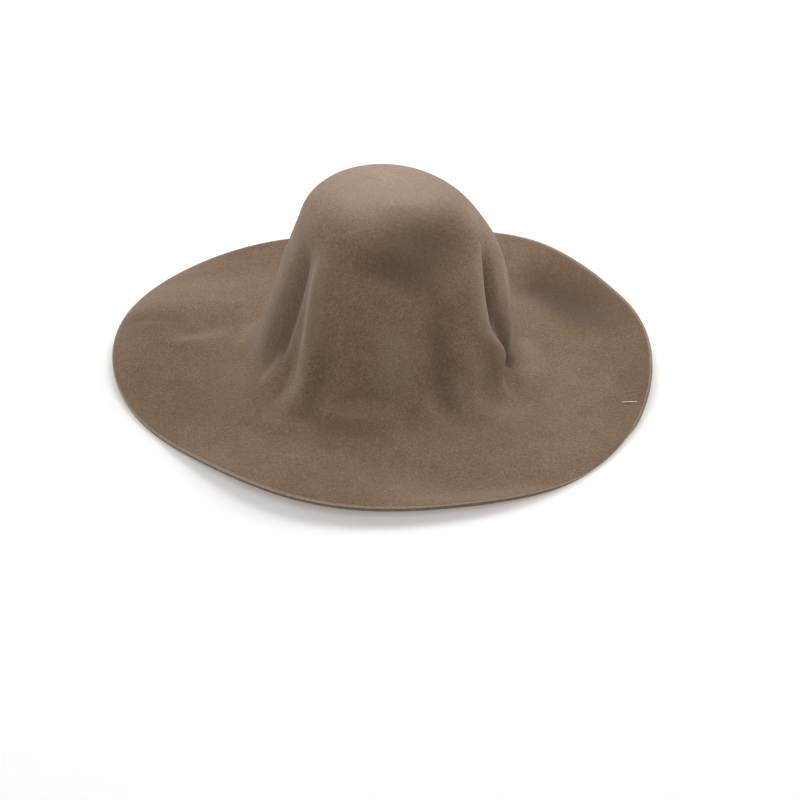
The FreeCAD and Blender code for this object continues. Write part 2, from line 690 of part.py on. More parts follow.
for i, e in enumerate(cut.Shape.Edges):
    b = e.BoundBox
    if b.XLength < 1e-6 and b.YLength < 1e-6 and abs(abs(b.YMin) - 0.5 * size("ticket_width")) < 1e-3:
        names.append("Edge%d" % (i + 1))
print("ticket corner edges", len(names), "slot volume", round(before - cut.Shape.Volume, 4))
rounded = ticket.newObject("PartDesign::Fillet", "ticket_corners")
rounded.Base = (cut, names)
expr(rounded, "Radius", "sizes.ticket_corner")
ticket.Tip = rounded
ticket.Label = "ticket"
ticket.Placement = seat
doc.recompute()

# --------------------------------------- felt body: the felt less its leg holes
legs = []
for name, side in (("inner_leg_hole", -1.0), ("outer_leg_hole", 1.0)):
    hole = doc.addObject("Part::Box", name)
    expr(hole, "Length", "sizes.wire_thick + 2 * sizes.hole_play")
    expr(hole, "Width", "sizes.wire_width + 2 * sizes.hole_play")
    expr(hole, "Height", "4 * sizes.brim_felt")
    doc.recompute()
    hole.Placement = seat.multiply(FreeCAD.Placement(
        FreeCAD.Vector(side * half - 0.5 * float(hole.Length), -0.5 * float(hole.Width),
                       -0.5 * float(hole.Height) - 0.5 * size("brim_felt")),
        FreeCAD.Rotation()))
    legs.append(hole)
both = doc.addObject("Part::MultiFuse", "leg_holes")
both.Shapes = legs
felt_body = doc.addObject("Part::Cut", "felt_body")
felt_body.Base = blank
felt_body.Tool = both
felt_body.Label = "felt_body"
doc.recompute()

# ------------------------------------------------------------ check and write
for obj in doc.Objects:
    if "Invalid" in obj.State or "Error" in obj.State:
        raise RuntimeError("%s is %s" % (obj.Name, obj.State))
for sk in (path, section, strip, slots):
    if sk.solve() != 0 or not sk.FullyConstrained:
        raise RuntimeError(sk.Name + " is not fully constrained")
nodes = [felt_body, staple, ticket]
for obj in nodes:
    shape = obj.Shape
    if shape.isNull() or not shape.isValid() or not shape.Solids:
        raise RuntimeError(obj.Label + " has no valid solid")
    b = shape.BoundBox
    print(obj.Label, "solids", len(shape.Solids), "volume", round(shape.Volume, 3),
          "box", [round(c, 2) for c in (b.XMin, b.YMin, b.ZMin, b.XMax, b.YMax, b.ZMax)])
for i in range(len(nodes)):
    for j in range(i):
        both_in = nodes[i].Shape.common(nodes[j].Shape).Volume
        print(nodes[i].Label, nodes[j].Label, "overlap", round(both_in, 5),
              "gap", round(nodes[i].Shape.distToShape(nodes[j].Shape)[0], 3))

os.makedirs("parts", exist_ok=True)
for obj in nodes:
    obj.Shape.exportStep("parts/%s.step" % obj.Label)
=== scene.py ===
import math

import bpy
import numpy as np
from mathutils import Matrix, Vector


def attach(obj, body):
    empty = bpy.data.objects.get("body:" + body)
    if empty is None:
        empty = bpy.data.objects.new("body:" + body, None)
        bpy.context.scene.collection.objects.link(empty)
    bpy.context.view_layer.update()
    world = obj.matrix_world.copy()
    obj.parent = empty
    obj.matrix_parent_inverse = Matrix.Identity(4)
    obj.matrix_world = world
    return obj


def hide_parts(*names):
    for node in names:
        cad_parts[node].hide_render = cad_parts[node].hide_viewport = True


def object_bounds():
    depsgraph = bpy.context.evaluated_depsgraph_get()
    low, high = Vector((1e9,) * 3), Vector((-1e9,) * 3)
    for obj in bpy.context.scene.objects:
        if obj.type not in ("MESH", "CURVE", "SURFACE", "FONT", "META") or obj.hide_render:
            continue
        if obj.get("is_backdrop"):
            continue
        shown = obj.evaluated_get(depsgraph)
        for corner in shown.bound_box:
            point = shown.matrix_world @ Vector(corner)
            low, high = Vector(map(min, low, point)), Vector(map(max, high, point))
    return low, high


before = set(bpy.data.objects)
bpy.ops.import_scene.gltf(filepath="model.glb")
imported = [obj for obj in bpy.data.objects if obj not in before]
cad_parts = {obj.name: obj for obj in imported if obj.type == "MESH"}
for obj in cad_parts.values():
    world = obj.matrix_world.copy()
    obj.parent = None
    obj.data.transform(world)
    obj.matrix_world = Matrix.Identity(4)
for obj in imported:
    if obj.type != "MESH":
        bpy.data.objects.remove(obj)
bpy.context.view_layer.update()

# ----------------------------------------------------------------------------
# The felt: the same surface as the CAD model's, in (angle, run) coordinates,
# sampled finely. All lengths in this block are millimetres.
# ----------------------------------------------------------------------------
CROWN_FELT, BRIM_FELT, GROWS_FROM, GROWS_TO = 2.8, 3.6, 150.0, 250.0
PROFILE = np.array([
    (0.0, 168.2),
    (26.0, 165.5),
    (47.71, 159.09),
    (67.13, 144.09),
    (76.0, 128.79),
    (83.94, 110.45),
    (92.05, 80.17),
    (98.75, 46.93),
    (105.05, 24.49),
    (113.97, 12.34),
    (127.6, 5.27),
    (150.9, 1.99),
    (186.04, 1.68),
    (222.03, -0.13),
], float)
KNOTS = np.array([0.0, 28.19, 54.59, 77.87, 98.02, 120.64, 150.79, 183.18, 205.99, 222.21, 239.3, 266.47, 301.52, 338.05])
RINGS = np.array([0.0, 40.0, 95.0, 150.0, 205.0, 245.0, 290.0, 338.05])
SWELL = [
    [0.0],
    [-0.0, -0.00418, 0.00019, 9e-05, 0.00284],
    [-0.0, 0.0238, 0.00136, 0.00246, -0.01073, 0.01193, -0.00226, -0.00058, -0.01025],
    [1e-05, 0.03325, 0.00898, 0.01771, -0.01795, 0.01216, -0.00701, 0.00562, -0.01216],
    [0.0, 0.006, 0.0017, 0.00431, -0.0014, 0.00575, -0.00349, -0.00083, -0.00406],
    [-1e-05, -0.02259, -0.02039, -0.04667, 0.02192, 0.00363, 0.02313, -0.02324, 0.00903, 0.00389, 0.015],
    [0.002, 0.00512, -0.00888, 0.0162, -0.07554, -0.0259, -0.02549, -0.00199, 0.00155, -0.0074, -0.00201],
    [-0.0024, 0.00483, -0.00452, 0.00934, -0.02057, -0.01261, 0.01002, 0.00553, -0.01208, -0.00015, -0.00157, 0.0035, 0.00827],
]
LIFT = [
    [0.0],
    [0.0, 0.566, -0.21, -0.222, -0.501],
    [0.0, 1.338, 0.15, 0.36, -0.553, 0.776, -0.597, -0.404, -0.623],
    [0.0, 0.69, 0.086, 0.148, -0.374, 0.272, 0.073, 0.209, -0.287],
    [0.0, -1.145, -0.24, -0.522, 1.046, 0.216, 0.25, -0.187, 0.182],
    [0.808, -1.591, -1.32, -1.694, 1.68, 0.49, 0.745, -1.656, 0.593, 0.543, 0.491],
    [2.222, -4.434, 1.628, 0.209, 2.169, -2.396, 1.077, 1.204, -2.963, -0.418, 2.498],
    [4.04, 2.871, 0.323, 1.375, 4.239, 1.126, 5.893, 0.556, -0.246, -0.8, 0.058, 1.672, -1.243],
]
LEAN = np.array([
    (0.191, -0.283),
    (-1.128, -0.977),
    (3.727, -0.331),
    (4.992, 0.027),
    (1.105, 0.195),
    (0.001, 0.004),
    (0.002, -0.003),
    (0.068, 0.027),
])
# name, start angle, start run, end angle, end run, bow, left width, right
# width, height, fade in, fade out, crest
FOLDS = [
    ('ridge_a', -132.67, 78.93, -127.3, 239.33, -4.02, 7.5, 11.0, 6.2, 0.35, 0.12, 1.9),
    ('valley_l', -147.64, 82.82, -150.19, 221.89, -4.11, 15.0, 9.0, -7.5, 0.35, 0.2, 1.9),
    ('ridge_l', -175.51, 117.6, 173.72, 230.93, -32.0, 6.0, 7.0, 1.8, 0.35, 0.3, 1.8),
    ('ridge_s', -153.41, 189.64, -143.65, 231.4, 0.0, 6.0, 6.0, 3.6, 0.4, 0.35, 1.8),
    ('valley_s', -142.23, 187.08, -134.64, 232.58, 0.0, 5.0, 5.0, -2.6, 0.4, 0.35, 1.8),
    ('valley_w', -118.54, 160.42, -117.97, 239.83, -8.95, 12.0, 14.0, -4.4, 0.5, 0.2, 1.8),
    ('dent_a', -120.0, 77.3, -55.74, 129.47, 0.07, 13.0, 24.0, -5.0, 0.4, 0.45, 1.9),
    ('dent_b', -45.25, 42.95, -62.66, 121.64, 0.0, 30.0, 28.0, -9.5, 0.45, 0.55, 2.0),
    ('ridge_m', -104.38, 127.55, -83.8, 221.6, 16.4, 14.0, 15.0, 4.4, 0.4, 0.3, 1.9),
    ('valley_m', -63.67, 102.16, -57.22, 241.22, -4.92, 14.0, 12.0, -5.2, 0.5, 0.2, 1.8),
    ('bump_m', -71.67, 197.71, -67.72, 245.01, 0.0, 6.0, 6.0, 2.6, 0.4, 0.35, 1.8),
    ('valley_n', -74.94, 203.33, -83.16, 239.82, 0.0, 6.0, 6.0, -2.4, 0.4, 0.35, 1.8),
    ('foot_bulge', -125.49, 218.86, -78.4, 217.05, -1.45, 7.0, 14.0, 2.6, 0.4, 0.4, 1.8),
    ('ridge_r', -51.0, 162.06, -51.18, 244.09, 7.89, 9.0, 8.0, 2.8, 0.4, 0.25, 1.8),
    ('valley_r', -41.61, 165.26, -33.33, 236.16, 7.85, 8.0, 7.0, -2.6, 0.4, 0.25, 1.8),
    ('ridge_f', -20.6, 88.5, -29.2, 190.0, -20.6, 13.0, 6.0, 5.8, 0.3, 0.4, 1.8),
    ('ridge_e', -33.0, 153.0, -33.0, 256.0, 11.0, 12.0, 7.0, 5.2, 0.35, 0.3, 1.8),
    ('valley_f', -18.71, 98.19, -15.64, 206.0, -23.6, 6.0, 8.0, -8.5, 0.3, 0.4, 1.9),
    ('valley_g', -28.45, 147.67, -6.73, 240.46, -1.47, 6.0, 7.0, -6.5, 0.3, 0.3, 1.9),
    ('ridge_g', 46.07, 284.04, -14.01, 195.19, -32.0, 5.0, 7.0, 2.0, 0.35, 0.5, 1.8),
    ('ridge_h', -9.05, 233.04, -21.24, 258.56, 0.0, 6.0, 6.0, 1.6, 0.4, 0.4, 1.8),
    ('brim_l_ridge', -179.18, 296.37, 157.47, 250.81, -13.28, 13.0, 6.0, 3.3, 0.35, 0.4, 1.8),
    ('brim_l_valley', 169.63, 337.28, 168.01, 272.78, 0.0, 8.0, 11.0, -3.0, 0.35, 0.4, 1.9),
    ('brim_rb_valley', 51.41, 304.31, 11.85, 319.99, 0.0, 23.0, 22.0, -6.2, 0.35, 0.4, 2.0),
    ('brim_r_valley', -13.22, 289.18, -5.99, 337.79, 0.0, 14.0, 12.0, -0.8, 0.4, 0.4, 2.0),
    ('back_valley_a', 40, 112, 36, 230, -2, 9, 8, -3.2, 0.35, 0.15, 1.9),
    ('back_ridge_a', 56, 102, 52, 238, 3, 8, 7, 3.4, 0.3, 0.2, 1.7),
    ('back_valley_b', 70, 128, 69, 236, 0, 8, 9, -3.6, 0.35, 0.12, 1.9),
    ('back_ridge_b', 84, 150, 86, 240, -2, 10, 8, 2.8, 0.35, 0.25, 1.9),
    ('back_valley_c', 99, 96, 103, 232, 4, 9, 10, -4.8, 0.3, 0.12, 1.9),
    ('back_ridge_c', 116, 118, 113, 240, -4, 9, 11, 3.6, 0.3, 0.2, 1.8),
    ('back_valley_d', 131, 140, 134, 236, 2, 8, 7, -3.4, 0.35, 0.15, 1.9),
    ('back_ridge_d', 146, 106, 150, 238, -3, 7, 8, 3.2, 0.3, 0.25, 1.8),
    ('back_brim_valley', 118, 305, 88, 262, 6, 16, 14, -2.2, 0.4, 0.4, 2.0),
]
ORIGIN = np.array([-1.189, -3.131, -7.796])      # the hat's box: its bottom centre
RUN = KNOTS[-1]


def natural(xs, level_start=False):
    """Second derivatives of the cubic spline through each unit value. It is free
    at its ends, or level at its start."""
    n = len(xs)
    h = np.diff(xs)
    A = np.zeros((n, n))
    B = np.zeros((n, n))
    A[0, 0] = A[-1, -1] = 1.0
    for i in range(1, n - 1):
        A[i, i - 1], A[i, i], A[i, i + 1] = h[i - 1], 2 * (h[i - 1] + h[i]), h[i]
        B[i, i - 1] += 6 / h[i - 1]
        B[i, i] -= 6 / h[i - 1] + 6 / h[i]
        B[i, i + 1] += 6 / h[i]
    if level_start:
        A[0, 0], A[0, 1] = 2 * h[0], h[0]
        B[0, 0], B[0, 1] = -6 / h[0], 6 / h[0]
    return np.linalg.solve(A, B)          # row i: second derivative at knot i


def weights(xs, x, level_start=False):
    m = natural(xs, level_start)
    i = np.clip(np.searchsorted(xs, x, side="left") - 1, 0, len(xs) - 2)
    d = xs[i + 1] - xs[i]
    a = ((xs[i + 1] - x) / d)[:, None]
    b = 1 - a
    d = d[:, None]
    eye = np.eye(len(xs))
    val = a * eye[i] + b * eye[i + 1] + ((a**3 - a) * m[i] + (b**3 - b) * m[i + 1]) * d * d / 6
    der = (eye[i + 1] - eye[i]) / d + (-(3 * a * a - 1) * m[i] + (3 * b * b - 1) * m[i + 1]) * d / 6
    return val, der


def ease(x):
    x = np.clip(x, 0, 1)
    return x * x * (3 - 2 * x)


def wrap(a):
    return (a + np.pi) % (2 * np.pi) - np.pi


def fold_field(A, S, rho, folds):
    """Height of the folds along the plain surface's normal."""
    out = np.zeros_like(A)
    r = np.maximum(rho, 15.0)
    for f in folds:
        a0, s0, a1, s1, bow, wl, wr, high, fin, fout, crest = f[1:]
        a0, a1 = math.radians(a0), math.radians(a1)
        mid = 0.5 * (s0 + s1)
        w, _ = weights(KNOTS, np.array([mid]), True)
        rm = max(mid + float(w[0] @ (PROFILE[:, 0] - KNOTS)), 15.0)
        across = float(wrap(np.array(a1 - a0))) * rm
        down = s1 - s0
        long = math.hypot(across, down)
        x = wrap(A - a0) * rm
        y = S - s0
        t = (x * across + y * down) / long**2
        n = (x * down - y * across) / long
        n = n * (1 + (r / rm - 1) * abs(down) / long)
        n = n - bow * 4 * t * (1 - t)
        q = np.abs(n) / np.where(n < 0, wl, wr)
        out += high * ease(t / fin) * ease((1 - t) / fout) * np.exp(-np.minimum(q, 8) ** crest)
    return out


def fourier(a, n):
    cols = [np.ones_like(a)]
    k = 1
    while len(cols) < n:
        cols += [np.cos(k * a), np.sin(k * a)]
        k += 1
    return np.array(cols[:n])


def felt_top(angles, runs, folds):
    """Points of the felt's upper face, shape (angle, run, 3)."""
    w, dw = weights(KNOTS, runs, True)
    rho, z = runs + w @ (PROFILE[:, 0] - KNOTS), w @ PROFILE[:, 1]
    dr, dz = 1 + dw @ (PROFILE[:, 0] - KNOTS), dw @ PROFILE[:, 1]
    n = np.hypot(dr, dz)
    nr, nz = -dz / n, dr / n
    b, _ = weights(RINGS, runs)
    grow = np.zeros((len(angles), len(runs)))
    up = np.zeros_like(grow)
    for i in range(len(RINGS)):
        grow += np.outer(np.array(SWELL[i]) @ fourier(angles, len(SWELL[i])), b[:, i])
        up += np.outer(np.array(LIFT[i]) @ fourier(angles, len(LIFT[i])), b[:, i])
    A, S = np.meshgrid(angles, runs, indexing="ij")
    f = fold_field(A, S, rho[None, :], folds)
    rad = rho * (1 + grow) + nr * f
    lean = b @ LEAN
    X = rad * np.cos(A) + lean[:, 0]
    Y = rad * np.sin(A) + lean[:, 1]
    Z = z + up + nz * f
    return np.stack([X, Y, Z], -1)


def felt_normals(P):
    """Outward normals of a closed-round grid of points (angle, run, 3)."""
    da = np.roll(P, -1, 0) - np.roll(P, 1, 0)
    ds = np.gradient(P, axis=1)
    n = np.cross(ds, da)
    size = np.linalg.norm(n, axis=-1, keepdims=True)
    n = n / np.maximum(size, 1e-9)
    return n


def soften(N, times_round, times_along):
    """Averages the normals over their neighbours, round and along."""
    for _ in range(times_round):
        N = 0.25 * np.roll(N, 1, 0) + 0.5 * N + 0.25 * np.roll(N, -1, 0)
    for _ in range(times_along):
        M = N.copy()
        M[:, 1:-1] = 0.25 * N[:, :-2] + 0.5 * N[:, 1:-1] + 0.25 * N[:, 2:]
        N = M
    return N / np.maximum(np.linalg.norm(N, axis=-1, keepdims=True), 1e-9)


rng = np.random.default_rng(7)


def wobble(angles, waves, strength):
    """A smooth closed random line round the hat."""
    out = np.zeros_like(angles)
    for k in range(2, waves):
        out += rng.normal() / k ** 0.5 * np.cos(k * angles + rng.uniform(0, 2 * np.pi))
    return strength * out / max(np.abs(out).max(), 1e-9)


# ------------------------------------------------------------ felt piece
ROUND = 400
angles = -np.pi + 2 * np.pi * np.arange(ROUND) / ROUND
TOP_ROWS, UNDER_ROWS, EDGE_ROWS = 128, 88, 7


def spread(count, first):
    """Runs from near the tip to the rim, closer together on the crown's lower
    half, where the folds are."""
    t = np.linspace(0, 1, 2001)
    dense = 1.0 + 0.9 * np.exp(-((t * RUN - 195) / 55) ** 2)
    c = np.concatenate([[0], np.cumsum(0.5 * (dense[1:] + dense[:-1]))])
    c /= c[-1]
    return np.interp(np.linspace(0, 1, count), c, first + (RUN - first) * t)


def felt_thickness(run):
    return CROWN_FELT + (BRIM_FELT - CROWN_FELT) * ease((run - GROWS_FROM) / (GROWS_TO - GROWS_FROM))


top_runs = spread(TOP_ROWS, 2.6)
under_runs = spread(UNDER_ROWS, 3.6)
T = felt_top(angles, top_runs, FOLDS) - ORIGIN
N = soften(felt_normals(T), 3, 2)
U = felt_top(angles, under_runs, FOLDS) - ORIGIN
NU = soften(felt_normals(U), 5, 4)
thick = felt_thickness(under_runs)[None, :, None]
U = U - NU * thick

# the cut edge: soft rounded arrises on a face that the shears left a little
# uneven
rim_top, rim_n, rim_t = T[:, -1], N[:, -1], BRIM_FELT
out_dir = T[:, -1] - T[:, -2]
out_dir /= np.linalg.norm(out_dir, axis=-1, keepdims=True)
bite = 0.22 + wobble(angles, 60, 0.16)                 # mm that the arrises round in
rag = wobble(angles, 90, 0.22)[:, None]               # the cut wanders by this much
edge_rows = []
for i in range(EDGE_ROWS):
    t = (i + 1) / (EDGE_ROWS + 1)
    swell = math.sin(math.pi * t) ** 0.5 * 0.55
    edge_rows.append(rim_top - rim_n * rim_t * t + out_dir * (swell + rag * 0.5 * math.sin(math.pi * t)) )
T[:, -1] -= rim_n * (0.5 * bite[:, None]) - out_dir * 0.05
U[:, -1] += rim_n * (0.5 * bite[:, None])

rows = [T[:, i] for i in range(TOP_ROWS)] + edge_rows + [U[:, i] for i in range(UNDER_ROWS - 1, -1, -1)]
R = len(rows)
grid = np.stack(rows, 1)                                # (angle, row, 3)
tip_top = T[:, 0].mean(0) + np.array([0, 0, 0.02])
tip_under = U[:, 0].mean(0) - np.array([0, 0, -0.02])
verts = np.concatenate([grid.reshape(-1, 3), [tip_top, tip_under]]) * 0.001
I, J = np.meshgrid(np.arange(ROUND), np.arange(R - 1), indexing="ij")
K = (I + 1) % ROUND
quads = np.stack([I * R + J, I * R + J + 1, K * R + J + 1, K * R + J], -1).reshape(-1, 4)
i = np.arange(ROUND)
k = (i + 1) % ROUND
tri_top = np.stack([np.full(ROUND, ROUND * R), i * R, k * R], -1)
tri_under = np.stack([np.full(ROUND, ROUND * R + 1), k * R + R - 1, i * R + R - 1], -1)


def build_mesh(name, verts, quads, tris):
    mesh = bpy.data.meshes.new(name)
    mesh.vertices.add(len(verts))
    mesh.vertices.foreach_set("co", np.asarray(verts, np.float32).ravel())
    loops = np.concatenate([quads.ravel(), tris.ravel()]).astype(np.int32)
    mesh.loops.add(len(loops))
    mesh.loops.foreach_set("vertex_index", loops)
    starts = np.concatenate([np.arange(len(quads)) * 4, len(quads) * 4 + np.arange(len(tris)) * 3])
    mesh.polygons.add(len(starts))
    mesh.polygons.foreach_set("loop_start", starts.astype(np.int32))
    mesh.polygons.foreach_set("use_smooth", np.ones(len(starts), bool))
    mesh.update(calc_edges=True)
    mesh.validate()
    return mesh


mesh = build_mesh("felt_surface", verts, quads, np.concatenate([tri_top, tri_under]))
run_of = np.concatenate([top_runs, np.full(EDGE_ROWS, RUN), under_runs[::-1]])
# 0 on the upper face, 1 on the underside, and between them across the cut
side_of = np.concatenate([np.zeros(TOP_ROWS), (np.arange(EDGE_ROWS) + 1) / (EDGE_ROWS + 1), np.ones(UNDER_ROWS)])
fold_top = fold_field(*np.meshgrid(angles, top_runs, indexing="ij"),
                      np.interp(top_runs, KNOTS, PROFILE[:, 0])[None, :], FOLDS)
# patches of painted light (positive, paler) and painted shade (negative, darker) on the
# felt's upper face: the same layout of numbers as the folds, with the tone in place of the height
LIGHT_SHADE_PATCHES = [
    ('dent_shade', -103.59, 63.46, -43.69, 122.31, 0.0, 24.0, 20.0, -0.4, 0.35, 0.35, 2.0),
    ('valley_f_shade', -19.53, 107.01, -5.3, 232.36, -20.0, 4.5, 5.0, -0.25, 0.2, 0.3, 1.8),
    ('ridge_a_line', -137.04, 93.28, -126.75, 226.63, -5.41, 3.5, 5.0, 0.55, 0.2, 0.2, 1.8),
    ('ridge_f_line', -29.04, 101.24, -30.03, 183.83, -14.9, 5.0, 3.5, 0.7, 0.2, 0.2, 1.8),
    ('ridge_g_line', -10.32, 126.4, -14.22, 180.91, 0.0, 3.0, 4.0, 0.5, 0.25, 0.3, 1.8),
    ('ridge_s_line', -154.21, 191.94, -144.5, 225.86, 0.0, 4.0, 4.0, 0.25, 0.3, 0.3, 1.8),
    ('brim_l_line', 179.22, 293.83, 161.23, 251.52, -11.56, 2.2, 2.8, 0.4, 0.25, 0.35, 1.8),
    ('brim_l_shade', 169.62, 337.81, 172.74, 283.07, 0.0, 14.0, 12.0, -0.4, 0.3, 0.4, 2.0),
    ('brim_lb_shade', 152.05, 332.71, 127.58, 293.54, 0.0, 9.0, 9.0, -0.35, 0.3, 0.35, 2.0),
    ('brim_lb_light', 161.69, 303.31, 143.5, 255.9, 0.0, 5.0, 5.0, 0.25, 0.3, 0.3, 2.0),
    ('brim_rb_shade', 47.81, 306.9, 4.75, 326.7, -12.32, 18.0, 22.0, -0.66, 0.22, 0.35, 2.0),
    ('brim_r_light', 13.99, 232.38, -15.15, 267.67, 0.0, 12.0, 15.0, 0.6, 0.25, 0.4, 2.0),
    ('foot_r_light', -50.74, 235.4, -27.34, 263.71, 0.0, 12.0, 14.0, 0.35, 0.3, 0.4, 2.0),
    ('foot_shade', -119.75, 233.51, -81.99, 231.41, 0.0, 8.0, 12.0, -0.35, 0.3, 0.3, 2.0),
    ('rim_front_light', -90.41, 322.26, -46.5, 330.51, 0.0, 10.0, 12.0, 0.35, 0.3, 0.3, 2.0),
    ('left_flank_light', 155.14, 226.75, 177.94, 246.98, 0.0, 8.0, 8.0, 0.4, 0.3, 0.3, 2.0),
    ('ridge_r_light', -51.75, 186.04, -55.81, 240.45, 0.0, 7.0, 7.0, 0.35, 0.3, 0.3, 2.0),
    ('front_lower_light', -93.71, 159.29, -89.75, 204.76, 0.0, 14.0, 14.0, 0.25, 0.35, 0.35, 2.0),
    ('dome_right_light', 3.73, 69.86, -22.89, 95.4, 0.0, 11.0, 9.0, 0.35, 0.35, 0.35, 2.0),
    ('valley_foot_shade', -18.8, 184.37, -4.35, 233.27, 0.0, 5.0, 5.0, -0.55, 0.3, 0.25, 1.8),
    ('valley_r_shade', -38.52, 173.98, -36.51, 224.53, 0.0, 4.5, 4.0, -0.3, 0.3, 0.3, 1.8),
    ('valley_l_shade', -166.9, 123.26, -164.64, 215.41, 2.84, 7.0, 7.0, -0.25, 0.3, 0.25, 1.8),
    ('ridge_top_light', -139.39, 78.33, -123.71, 109.69, 0.0, 9.0, 10.0, 0.22, 0.35, 0.4, 2.0),
]
# painted light and shade: the patches' tone at each point of the upper face
painted_light_top = fold_field(*np.meshgrid(angles, top_runs, indexing="ij"),
                     np.interp(top_runs, KNOTS, PROFILE[:, 0])[None, :], LIGHT_SHADE_PATCHES)
painted_light_grid = np.zeros((ROUND, R))
painted_light_grid[:, :TOP_ROWS] = painted_light_top
relief = np.zeros((ROUND, R))
relief[:, :TOP_ROWS] = fold_top


def face_attribute(mesh, name, per_row=None, grid=None, tips=(0.0, 0.0)):
    values = np.tile(per_row, (ROUND, 1)) if grid is None else grid
    a = mesh.attributes.new(name, "FLOAT", "POINT")
    a.data.foreach_set("value", np.concatenate([values.ravel(), tips]).astype(np.float32))


face_attribute(mesh, "rim_distance", per_row=RUN - run_of, tips=(RUN, RUN))
face_attribute(mesh, "felt_side", per_row=side_of, tips=(0.0, 1.0))
face_attribute(mesh, "fold_relief", grid=relief)
# the painted light and shade tone, carried to the felt material
face_attribute(mesh, "painted_light_tone", grid=painted_light_grid)

felt = bpy.data.objects.new("felt_body_nap", mesh)
bpy.context.collection.objects.link(felt)
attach(felt, "root")
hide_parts("felt_body")


# ------------------------------------------------------------ material helpers
class Nodes:
    def __init__(self, name):
        self.mat = bpy.data.materials.new(name)
        self.mat.use_nodes = True
        self.t = self.mat.node_tree
        self.bsdf = self.t.nodes["Principled BSDF"]

    def add(self, kind, **props):
        n = self.t.nodes.new(kind)
        for k, v in props.items():
            setattr(n, k, v)
        return n

    def link(self, a, b):
        self.t.links.new(a, b)

    def coords(self):
        if not hasattr(self, "_c"):
            self._c = self.add("ShaderNodeTexCoord").outputs["Object"]
        return self._c

    def noise(self, scale, detail=2.0, rough=0.5, distort=0.0, vector=None, kind="FBM"):
        n = self.add("ShaderNodeTexNoise")
        n.noise_type = kind
        n.inputs["Scale"].default_value = scale
        n.inputs["Detail"].default_value = detail
        n.inputs["Roughness"].default_value = rough
        n.inputs["Distortion"].default_value = distort
        self.link(vector or self.coords(), n.inputs["Vector"])
        return n.outputs["Fac"]

    def voronoi(self, scale, feature="F1", vector=None, out="Distance", rand=1.0):
        n = self.add("ShaderNodeTexVoronoi")
        n.feature = feature
        n.inputs["Scale"].default_value = scale
        n.inputs["Randomness"].default_value = rand
        self.link(vector or self.coords(), n.inputs["Vector"])
        return n.outputs[out]

    def ramp(self, value, lo, hi, a=0.0, b=1.0, smooth=False):
        n = self.add("ShaderNodeMapRange")
        n.interpolation_type = "SMOOTHSTEP" if smooth else "LINEAR"
        n.inputs["From Min"].default_value = lo
        n.inputs["From Max"].default_value = hi
        n.inputs["To Min"].default_value = a
        n.inputs["To Max"].default_value = b
        self.link(value, n.inputs["Value"])
        return n.outputs["Result"]

    def math(self, op, a, b=None):
        n = self.add("ShaderNodeMath", operation=op)
        for i, v in enumerate((a, b)):
            if v is None:
                continue
            if isinstance(v, (int, float)):
                n.inputs[i].default_value = v
            else:
                self.link(v, n.inputs[i])
        return n.outputs[0]

    def mix(self, fac, a, b, kind="MIX"):
        n = self.add("ShaderNodeMix", data_type="RGBA", blend_type=kind)
        n.clamp_factor = True
        for sock, v in ((n.inputs["Factor"], fac), (n.inputs["A"], a), (n.inputs["B"], b)):
            if isinstance(v, (int, float)):
                sock.default_value = v
            elif isinstance(v, tuple):
                sock.default_value = (*v, 1.0)
            else:
                self.link(v, sock)
        # the factor and colours of a colour mix are at fixed places in the node
        return n.outputs["Result"]

    def attribute(self, name):
        return self.add("ShaderNodeAttribute", attribute_name=name).outputs["Fac"]

    def bump(self, height, strength, distance, normal=None):
        n = self.add("ShaderNodeBump")
        n.inputs["Strength"].default_value = strength
        n.inputs["Distance"].default_value = distance
        self.link(height, n.inputs["Height"])
        if normal is not None:
            self.link(normal, n.inputs["Normal"])
        return n.outputs["Normal"]

    def stretch(self, x, y, z):
        n = self.add("ShaderNodeMapping")
        n.inputs["Scale"].default_value = (x, y, z)
        self.link(self.coords(), n.inputs["Vector"])
        return n.outputs["Vector"]


def colour_mix(m, fac, a, b, kind="MIX"):
    """A colour mix that names its sockets by place, as the node shows only one
    set of them for each kind of data."""
    n = m.add("ShaderNodeMix", data_type="RGBA", blend_type=kind)
    n.clamp_factor = True
    colour_in = [s for s in n.inputs if s.type == "RGBA"]
    fac_in = n.inputs[0]
    for sock, v in ((fac_in, fac), (colour_in[0], a), (colour_in[1], b)):
        if isinstance(v, (int, float)):
            sock.default_value = v
        elif isinstance(v, tuple):
            sock.default_value = (*v, 1.0)
        else:
            m.link(v, sock)
    return [s for s in n.outputs if s.type == "RGBA"][0]


# ------------------------------------------------------------ felt material
m = Nodes("felt_nap")
tint_dark, tint_mid, tint_light = (0.135, 0.083, 0.051), (0.222, 0.146, 0.094), (0.335, 0.236, 0.164)
patch = m.noise(9.0, 3.0, 0.55)                    # broad uneven dye, 60 to 110 mm
cloud = m.noise(55.0, 4.0, 0.6)                    # soft cloudiness, about 15 mm
mottle = m.noise(330.0, 4.0, 0.7, 0.6)            # matted wool, 3 to 4 mm
speck = m.noise(1050.0, 3.0, 0.75, 1.2)              # fibre clumps, about 1 mm
hair_a = m.noise(900.0, 2.0, 0.6, 2.5, m.stretch(1.0, 0.22, 0.6))
hair_b = m.noise(900.0, 2.0, 0.6, 2.5, m.stretch(0.25, 1.0, 0.5))
tone = m.math("ADD", m.ramp(patch, 0.3, 0.7, -0.10, 0.10), m.ramp(cloud, 0.3, 0.7, -0.10, 0.10))
tone = m.math("ADD", tone, m.ramp(mottle, 0.3, 0.7, -0.13, 0.13))
tone = m.math("ADD", tone, m.ramp(speck, 0.32, 0.68, -0.24, 0.24))
grit = m.noise(760.0, 2.0, 0.8, 0.3)                # loose tufts, between 1 and 2 mm
tone = m.math("ADD", tone, m.ramp(grit, 0.34, 0.66, -0.14, 0.14))
tone = m.math("ADD", tone, 0.5)
base = colour_mix(m, m.ramp(tone, 0.0, 0.5), tint_dark, tint_mid)
base = colour_mix(m, m.ramp(tone, 0.5, 1.0), base, tint_light)
